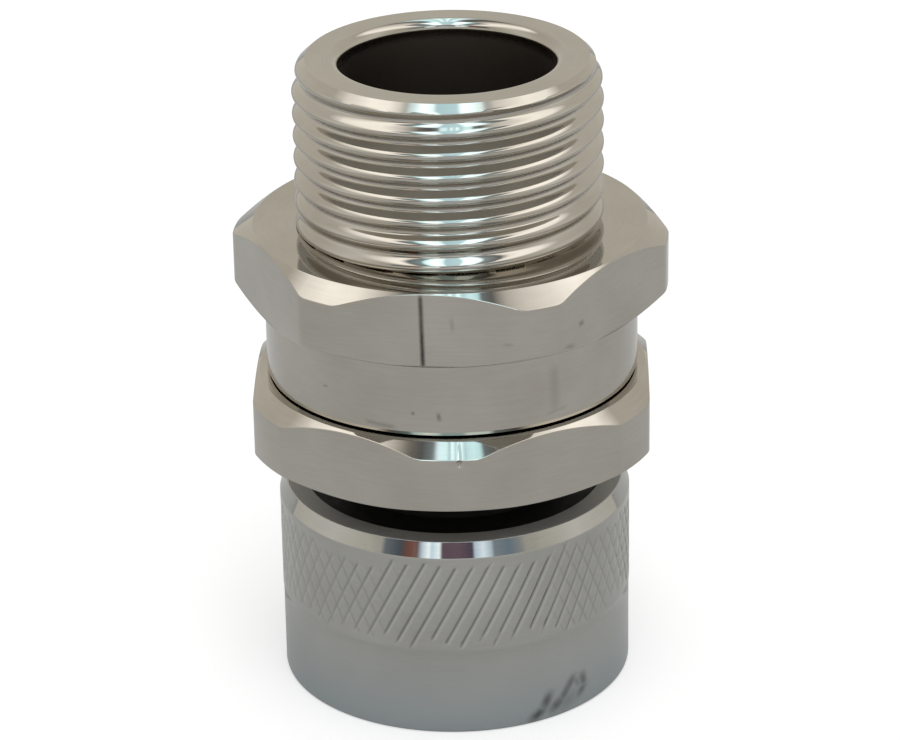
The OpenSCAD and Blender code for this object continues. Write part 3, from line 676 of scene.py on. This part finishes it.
def platedMetal(name, values, boreShade=False, marks=()):
    material, tree, shader, spot = startMaterial(name, {"Metallic": 1.0})
    radius, height = polar(tree, spot)[:2]
    streaks = turningMarks(tree, spot, values["markFine"], values["markLong"])
    fine = turningMarks(tree, spot, values["markFine"] * values["finer"], values["finerLong"])
    clouds = noise(tree, spot, values["cloudScale"], values["cloudDetail"])
    cloudPart = calc(tree, "MULTIPLY", clouds, values["cloudShare"])
    tone = calc(tree, "ADD", calc(tree, "MULTIPLY", streaks, values["streakShare"]), cloudPart)
    colour = mix(tree, ramp(tree, tone, *values["tones"]), values["base"], values["pale"])
    rough = ramp(tree, fine, *values["roughTones"], values["roughLow"], values["roughHigh"])
    wall = ramp(tree, upright(tree), *values["wall"], 1.0, 0.0)
    polished = ramp(tree, wall, 0.0, 1.0, values["polish"] / values["roughLow"], 1.0)
    rough = calc(tree, "MULTIPLY", rough, polished)
    if "low" in values:
        # Painted reflection: the collar's colour turns bluish towards the bottom
        paintedLowReflection = ramp(tree, height, values["lowFrom"], 0.0, smooth=True)
        colour = mix(tree, paintedLowReflection, colour, values["low"])
        face = calc(tree, "GREATER_THAN", height, values["face"])
        rough = calc(tree, "MAXIMUM", rough, calc(tree, "MULTIPLY", face, values["faceRough"]))
        tree.links.new(ramp(tree, face, 0.0, 1.0, 1.0, values["faceMetal"]), shader.inputs["Metallic"])
        # Painted shade in the knurl's grooves, and a painted highlight beside each
        paintedGrooveShade, paintedGrooveHighlight = knurlShade(tree, spot)
        colour = mix(tree, paintedGrooveHighlight, mix(tree, paintedGrooveShade, colour, values["groove"]), values["grooveHighlightColour"])
    if marks:
        # A painted shade line along the hexagon's lower edge is darkened together with the marks
        fromEdge = calc(tree, "ABSOLUTE", calc(tree, "SUBTRACT", height, values["edge"]))
        edgeLine = ramp(tree, fromEdge, *values["edgeWidth"], values["edgeShade"], 0.0, smooth=True)
        edgeLine = calc(tree, "MULTIPLY", edgeLine, calc(tree, "GREATER_THAN", radius, values["edgeFrom"]))
        marksAndEdgeShade = calc(tree, "MAXIMUM", smudges(tree, spot, marks), edgeLine)
        colour = mix(tree, marksAndEdgeShade, colour, values["dark"])
        rough = calc(tree, "MAXIMUM", rough, calc(tree, "MULTIPLY", marksAndEdgeShade, values["marksAndEdgeRough"]))
    if boreShade:
        # Painted shade: darker colour inside the bore, fading out towards the mouth
        inside = calc(tree, "LESS_THAN", radius, values["boreFrom"])
        inside = calc(tree, "MULTIPLY", inside, ramp(tree, height, *values["boreMouth"], 1.0, 0.0))
        colour = mix(tree, inside, colour, values["bore"])
        rough = calc(tree, "MAXIMUM", rough, calc(tree, "MULTIPLY", inside, values["boreRough"]))
    tree.links.new(colour, shader.inputs["Base Color"])
    tree.links.new(rough, shader.inputs["Roughness"])
    (low, high), soft = values["brushed"], values["brushedSoft"]
    brushed = calc(tree, "MULTIPLY", ramp(tree, height, low - soft, low + soft), wall)
    brushed = calc(tree, "MULTIPLY", brushed, ramp(tree, height, high, high + 2 * soft, 1.0, 0.0))
    depths = ramp(tree, brushed, 0.0, 1.0, 1.0, values["brushedDepth"] / values["marksDepth"])
    depths = calc(tree, "MULTIPLY", depths, ramp(tree, wall, 0.0, 1.0, values["marksOnFlat"], 1.0))
    first = bump(tree, calc(tree, "MULTIPLY", streaks, depths), values["marksDepth"])
    second = bump(tree, fine, values["marksDepth"] * values["finerDepth"], first)
    third = bump(tree, noise(tree, spot, values["rippleScale"], detail=1.0), values["ripple"], second)
    tree.links.new(third, shader.inputs["Normal"])
    return material


# Simple materials: one grain of noise mixes two colours, changes the roughness and lifts the surface
def simpleMaterial(name, settings, colours, scale, depth, rough, detail=4.0, contrast=(0.3, 0.7)):
    material, tree, shader, spot = startMaterial(name, settings)
    grain = noise(tree, spot, scale, detail)
    tree.links.new(mix(tree, ramp(tree, grain, *contrast), *colours), shader.inputs["Base Color"])
    tree.links.new(ramp(tree, grain, *contrast, *rough), shader.inputs["Roughness"])
    tree.links.new(bump(tree, grain, depth), shader.inputs["Normal"])
    return material


# Marks that the surface shows: (x, z) from and to, width, strength, and strength at the far end
bodyMarks = (
    ((-2.62, 42.5), (-2.5, 36.0), 0.34, 0.85, 1.0), ((-10.95, 32.35), (-10.9, 32.2), 0.3, 0.45),
    ((-3.44, 31.4), (-3.44, 31.1), 0.25, 0.5), ((-1.3, 31.3), (-1.2, 30.7), 0.3, 0.55),
    ((-0.05, 40.5), (0.05, 39.4), 0.3, 0.2), ((10.95, 38.8), (10.95, 38.4), 0.35, 0.5),
    ((9.6, 37.2), (10.3, 36.9), 0.35, 0.3), ((8.6, 34.4), (8.7, 30.4), 0.7, 0.16),
    ((-7.4, 30.0), (-5.0, 29.8), 0.35, 0.3), ((8.0, 30.2), (9.6, 30.4), 0.3, 0.14),
    ((0.4, 27.6), (0.42, 27.55), 0.3, 0.8), ((4.3, 38.3), (5.0, 38.3), 0.2, 0.2),
)
collarMarks = (
    ((6.4, 0.3), (7.6, 1.3), 0.75, 0.75), ((7.5, 1.2), (8.1, 2.6), 0.7, 0.7),
    ((8.2, 0.8), (9.3, 1.7), 0.8, 0.65), ((9.1, 1.5), (10.3, 3.5), 0.6, 0.6),
    ((10.2, 3.4), (10.8, 2.2), 0.5, 0.35), ((10.6, 1.2), (11.3, 2.2), 0.6, 0.55),
    ((11.2, 2.1), (11.0, 3.4), 0.55, 0.6), ((8.8, 0.7), (10.6, 1.8), 1.3, 0.28),
)

simpleFinishes = {
    "bearing_steel": {
        "name": "bearingSteel", "settings": {"Metallic": 1.0},
        "colours": ((0.5, 0.5, 0.51, 1), (0.58, 0.58, 0.59, 1)),
        "scale": 2.0, "depth": 0.001, "rough": (0.12, 0.2),
    },
    "spring_steel": {
        "name": "springSteel", "settings": {"Metallic": 1.0},
        "colours": ((0.3, 0.29, 0.27, 1), (0.4, 0.38, 0.35, 1)),
        "scale": 1.2, "depth": 0.002, "rough": (0.3, 0.45),
    },
    "bronze": {
        "name": "sinteredBronze", "settings": {"Metallic": 1.0},
        "colours": ((0.42, 0.24, 0.1, 1), (0.52, 0.31, 0.14, 1)),
        "scale": 1.5, "depth": 0.004, "rough": (0.38, 0.55),
    },
    "black_rubber": {
        "name": "blackRubber", "settings": {"Specular IOR Level": 0.25},
        "colours": ((0.004, 0.004, 0.003, 1), (0.009, 0.009, 0.007, 1)),
        "scale": 1.1, "depth": 0.01, "rough": (0.45, 0.65),
    },
    "white_polymer": {
        "name": "whitePolymer", "settings": {},
        "colours": ((0.72, 0.71, 0.68, 1), (0.8, 0.79, 0.76, 1)),
        "scale": 0.6, "depth": 0.003, "rough": (0.35, 0.5),
    },
}
materials = {
    "body_metal": platedMetal("platedBody", metal, boreShade=True, marks=bodyMarks),
    "collar_metal": platedMetal("platedCollar", collarMetal, marks=collarMarks),
    "stem_metal": platedMetal("platedStem", metal, boreShade=True),
}
for slotName, finish in simpleFinishes.items():
    materials[slotName] = simpleMaterial(**finish)

makeBody(materials["body_metal"])
makeNut(materials["body_metal"])
makeCollar(materials["collar_metal"])
print("pieces made")

# Every CAD node takes its finish from the slot given to it in this table
nodeSlots = {
    "male_body": "body_metal", "gland_nut": "body_metal", "knurled_collar": "collar_metal",
    "seat_ring": "stem_metal", "swivel_stem": "stem_metal",
    "lower_race": "bearing_steel", "upper_race": "bearing_steel", "bearing_balls": "bearing_steel",
    "spring_disc": "spring_steel", "snap_ring": "spring_steel",
    "guide_bush": "bronze", "ball_cage": "bronze",
    "seam_ring": "black_rubber", "lower_seal_ring": "black_rubber", "upper_seal_ring": "black_rubber",
    "dust_seal": "black_rubber", "pipe_gasket": "black_rubber",
    "slip_washer": "white_polymer",
    "lower_backup_ring": "white_polymer", "upper_backup_ring": "white_polymer",
    "upper_collar_washer": "white_polymer", "lower_collar_washer": "white_polymer",
}
for nodeName, slotName in nodeSlots.items():
    for materialSlot in nodes[nodeName].material_slots:
        materialSlot.material = materials[slotName]
print("materials set")


# Floor: plain and pale, white for the camera except where the object shades it
ground = {"colour": (0.62, 0.62, 0.615, 1), "rough": 0.9, "specular": 0.1, "glow": 0.46, "half": 4.0}


def makeFloor():
    material = bpy.data.materials.new("paleFloor")
    material.use_nodes = True
    tree = material.node_tree
    shader = tree.nodes["Principled BSDF"]
    shader.inputs["Base Color"].default_value = ground["colour"]
    shader.inputs["Roughness"].default_value = ground["rough"]
    shader.inputs["Specular IOR Level"].default_value = ground["specular"]
    shader.inputs["Emission Color"].default_value = (1, 1, 1, 1)
    seen = add(tree, "ShaderNodeLightPath").outputs["Is Camera Ray"]
    tree.links.new(calc(tree, "MULTIPLY", seen, ground["glow"]), shader.inputs["Emission Strength"])
    data = bpy.data.meshes.new("floor")
    half = ground["half"]
    corners = [(-half, -half, 0), (half, -half, 0), (half, half, 0), (-half, half, 0)]
    data.from_pydata(corners, [], [(0, 1, 2, 3)])
    data.materials.append(material)
    floor = bpy.data.objects.new("floor", data)
    bpy.context.scene.collection.objects.link(floor)


# World: white for the camera and for reflections, with the room's lamp, panels and window drawn in.
# Each is a row of (angle, colour) stops. "Up" and "Side" hold the range that shows it, and its softness
studio = {
    "soft": 0.72, "brightest": 3.0, "overheadFrom": (40.0, 47.0),
    "skylightUp": (9.0, 60.0, 2.0), "skylightSide": (-28.0, 28.0, 2.0),
    "windowUp": (21.0, 36.0, 0.6), "windowSide": (-58.0, 58.0, 2.0),
    "gleamUp": (19.5, 25.2, 0.3), "gleamSide": (-27.0, 27.0, 2.0),
    "overhead": (
        (-62, (0.8, 0.78, 0.74)), (-50, (1.0, 0.98, 0.94)), (-41, (1.4, 1.36, 1.3)),
        (-33, (2.0, 1.95, 1.88)), (-26, (1.9, 1.85, 1.78)), (-19, (1.1, 1.06, 1.0)),
        (-13, (0.3, 0.28, 0.26)), (-9, (0.16, 0.17, 0.18)), (-6, (0.35, 0.42, 0.46)),
        (-4.6, (1.5, 1.95, 2.2)), (-2.4, (1.4, 2.0, 2.2)), (-1.6, (0.7, 1.0, 1.15)),
        (-0.6, (1.9, 2.5, 2.7)), (0.8, (0.8, 1.2, 1.35)), (1.8, (2.0, 2.6, 2.8)),
        (3.2, (0.9, 1.35, 1.5)), (5.2, (1.3, 1.9, 2.1)), (7.6, (1.1, 1.7, 1.85)),
        (8.6, (0.3, 0.36, 0.4)), (11.5, (0.22, 0.22, 0.22)), (16, (0.95, 0.92, 0.87)),
        (24, (1.4, 1.36, 1.3)), (34, (1.95, 1.9, 1.83)), (46, (1.75, 1.71, 1.65)),
        (55, (1.2, 1.17, 1.12)), (62, (0.8, 0.78, 0.74)),
    ),
    "skylight": (
        (-30, (0.7, 0.68, 0.64)), (-25, (0.3, 0.36, 0.38)), (-19, (0.4, 0.6, 0.66)),
        (-17, (1.5, 2.1, 2.3)), (-12, (2.4, 2.8, 3.0)), (-7, (1.8, 2.3, 2.5)), (-5, (0.9, 1.3, 1.5)),
        (4, (1.0, 1.45, 1.65)), (6.5, (2.2, 2.7, 2.9)), (15, (2.0, 2.5, 2.7)), (17.5, (0.5, 0.6, 0.65)),
        (25, (0.25, 0.26, 0.27)), (30, (0.7, 0.68, 0.64)),
    ),
    "window": (
        (-60, (0.7, 0.68, 0.6)), (-50, (0.68, 0.66, 0.6)), (-47, (0.26, 0.29, 0.33)),
        (-37, (0.13, 0.16, 0.2)), (-34, (0.22, 0.14, 0.13)), (-29, (0.38, 0.15, 0.12)),
        (-25.5, (0.26, 0.14, 0.13)), (-22.5, (1.0, 1.2, 1.4)), (-18, (1.8, 2.0, 2.1)),
        (-16, (1.1, 1.4, 1.6)), (-11, (1.7, 1.9, 2.0)), (-9, (0.22, 0.15, 0.2)), (2, (0.24, 0.16, 0.2)),
        (11, (0.14, 0.11, 0.17)), (12.6, (0.9, 1.1, 1.3)), (18, (1.4, 1.6, 1.8)),
        (23.6, (0.8, 1.0, 1.15)), (25.6, (0.34, 0.42, 0.5)), (36, (0.28, 0.36, 0.44)),
        (43, (0.45, 0.48, 0.5)), (47, (0.68, 0.66, 0.6)), (60, (0.7, 0.68, 0.6)),
    ),
    "gleam": (
        (-30, (0.6, 0.57, 0.52)), (-26, (0.36, 0.38, 0.38)), (-22, (0.6, 0.78, 0.86)),
        (-14, (1.1, 1.45, 1.6)), (-5, (0.85, 1.15, 1.3)), (4, (1.4, 1.75, 1.9)),
        (14, (0.95, 1.25, 1.4)), (21, (1.1, 1.4, 1.5)), (25, (0.36, 0.38, 0.38)),
        (30, (0.6, 0.57, 0.52)),
    ),
    "horizon": (
        (-180, (0.72, 0.69, 0.62)), (-120, (0.76, 0.73, 0.66)), (-85, (0.95, 0.935, 0.88)),
        (-60, (0.78, 0.755, 0.67)), (0, (0.75, 0.74, 0.7)), (60, (0.76, 0.735, 0.66)),
        (85, (0.95, 0.935, 0.88)), (120, (0.76, 0.73, 0.66)), (180, (0.72, 0.69, 0.62)),
    ),
}


def tones(tree, value, stops):
    first, last = stops[0][0], stops[-1][0]
    brightest = studio["brightest"]
    made = add(tree, "ShaderNodeValToRGB", {0: ramp(tree, value, first, last)})
    elements = made.color_ramp.elements
    elements.remove(elements[1])
    for angle, colour in stops:
        position = (angle - first) / (last - first)
        element = elements.new(position) if angle > first else elements[0]
        element.position = position
        element.color = tuple(c / brightest for c in colour) + (1,)
    scaled = {0: made.outputs[0], "Scale": brightest}
    return add(tree, "ShaderNodeVectorMath", scaled, operation="SCALE").outputs[0]


def inBand(tree, value, low, high, soft):
    rising = ramp(tree, value, low - soft, low + soft)
    return calc(tree, "MULTIPLY", rising, ramp(tree, value, high - soft, high + soft, 1.0, 0.0))


def drawOver(tree, under, name, up, side):
    shown = inBand(tree, up, *studio[name + "Up"])
    shown = calc(tree, "MULTIPLY", shown, inBand(tree, side, *studio[name + "Side"]))
    return mix(tree, shown, under, tones(tree, side, studio[name]))


def makeWorld():
    world = bpy.data.worlds.new("studio")
    bpy.context.scene.world = world
    world.use_nodes = True
    tree = world.node_tree
    tree.nodes.clear()
    direction = add(tree, "ShaderNodeTexCoord").outputs["Generated"]
    apart = add(tree, "ShaderNodeSeparateXYZ", {0: direction}).outputs
    x, y, z = apart["X"], apart["Y"], apart["Z"]
    degree = 180 / math.pi
    towards = calc(tree, "MULTIPLY", y, -1.0)
    side = calc(tree, "MULTIPLY", calc(tree, "ARCTAN2", x, z), degree)
    front = calc(tree, "MULTIPLY", calc(tree, "ARCTAN2", towards, z), degree)
    azimuth = calc(tree, "MULTIPLY", calc(tree, "ARCTAN2", x, towards), degree)
    elevation = calc(tree, "MULTIPLY", calc(tree, "ARCSINE", z), degree)
    overhead = drawOver(tree, tones(tree, side, studio["overhead"]), "skylight", front, side)
    isOverhead = ramp(tree, elevation, *studio["overheadFrom"])
    sky = mix(tree, isOverhead, tones(tree, azimuth, studio["horizon"]), overhead)
    sky = drawOver(tree, sky, "window", elevation, azimuth)
    sky = drawOver(tree, sky, "gleam", elevation, azimuth)
    path = add(tree, "ShaderNodeLightPath").outputs
    mirrored = calc(tree, "MAXIMUM", path["Is Glossy Ray"], path["Is Transmission Ray"])
    seen = mix(tree, mirrored, (studio["soft"],) * 3 + (1,), sky)
    seen = mix(tree, path["Is Camera Ray"], seen, (1.0, 1.0, 1.0, 1))
    shade = add(tree, "ShaderNodeBackground", {"Color": seen, "Strength": 1.0}).outputs[0]
    add(tree, "ShaderNodeOutputWorld", {"Surface": shade})


# Lamp: it only lights, because the world already shows it in the reflections
lamp = {"place": (0.05, -0.25, 0.9), "size": (0.3, 0.8), "power": 3.0, "tint": (0.98, 0.99, 1.0)}


def makeLamp():
    data = bpy.data.lights.new("overheadLamp", "AREA")
    data.shape = "RECTANGLE"
    data.size, data.size_y = lamp["size"]
    data.energy = lamp["power"]
    data.color = lamp["tint"]
    made = bpy.data.objects.new("overheadLamp", data)
    bpy.context.scene.collection.objects.link(made)
    made.location = lamp["place"]
    made.rotation_euler = Vector(lamp["place"]).to_track_quat("Z", "Y").to_euler()
    made.visible_glossy = False


# Camera: fitted to the edges in the photograph, with its slight roll
view = {
    "lens": 152.13, "sensor": 36.0, "nearest": 0.01, "pitch": 66.16, "roll": -1.05,
    "place": (-0.00023, -0.310, 0.1651),
}


def makeCamera():
    data = bpy.data.cameras.new("camera")
    data.lens = view["lens"]
    data.sensor_width = view["sensor"]
    data.sensor_fit = "HORIZONTAL"
    data.clip_start = view["nearest"]
    camera = bpy.data.objects.new("camera", data)
    bpy.context.scene.collection.objects.link(camera)
    pitch = Matrix.Rotation(math.radians(view["pitch"]), 4, "X")
    roll = Matrix.Rotation(math.radians(view["roll"]), 4, "Z")
    camera.matrix_world = Matrix.Translation(view["place"]) @ pitch @ roll
    bpy.context.scene.camera = camera


makeFloor()
makeWorld()
makeLamp()
makeCamera()
bpy.context.scene.view_settings.view_transform = "Standard"
